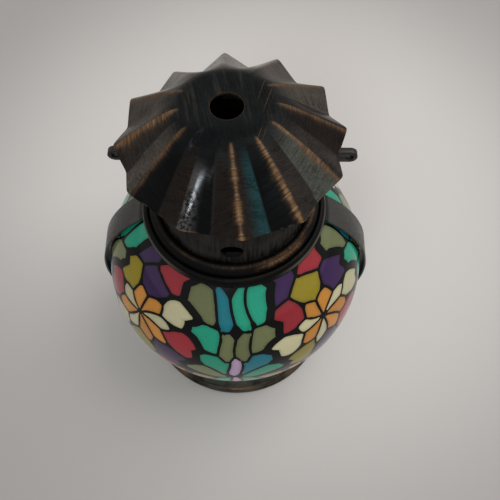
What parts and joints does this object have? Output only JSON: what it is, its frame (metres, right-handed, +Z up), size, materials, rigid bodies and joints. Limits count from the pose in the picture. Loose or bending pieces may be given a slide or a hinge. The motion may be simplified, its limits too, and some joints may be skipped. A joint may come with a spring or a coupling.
{
  "type": "table lantern",
  "caption": "Candle lantern with a round glass globe caged by side straps between a spun foot and a vented collar, under a pleated sheet cap that lifts off.",
  "frame": {"origin": "centre of the foot on the floor", "axes": "+Z up along the lantern's axis, +X to the right-hand strap and ear seen from the front, front faces -Y"},
  "size_m": [0.1042, 0.1, 0.1538],
  "materials": {
    "dark_metal": "brushed, antiqued near black",
    "cap_metal": "antiqued black rubbed back to copper on the folds",
    "plain_metal": "plain tinned sheet",
    "strap_metal": "satin",
    "rivet_metal": "satin",
    "globe_glass": "glossy, coloured panes between dark lines"
  },
  "bodies": {
    "lantern": {"foot": "dark_metal", "base_pan": "dark_metal", "candle_cup": "plain_metal", "candle_cup_rivet": "rivet_metal", "glass_globe": "globe_glass", "strap_left": "strap_metal", "strap_right": "strap_metal", "strap_foot_rivets": "rivet_metal", "collar": "dark_metal", "hanging_ear_left": "strap_metal", "hanging_ear_right": "strap_metal", "ear_rivets": "rivet_metal"},
    "cap": {"pleated_cap": "cap_metal", "cap_sleeve": "plain_metal"}
  },
  "joints": [
    {"name": "cap_lift", "type": "slide", "parent": "lantern", "child": "cap", "axis": [0, 0, 1], "range_m": [0, 0.1]}
  ]
}
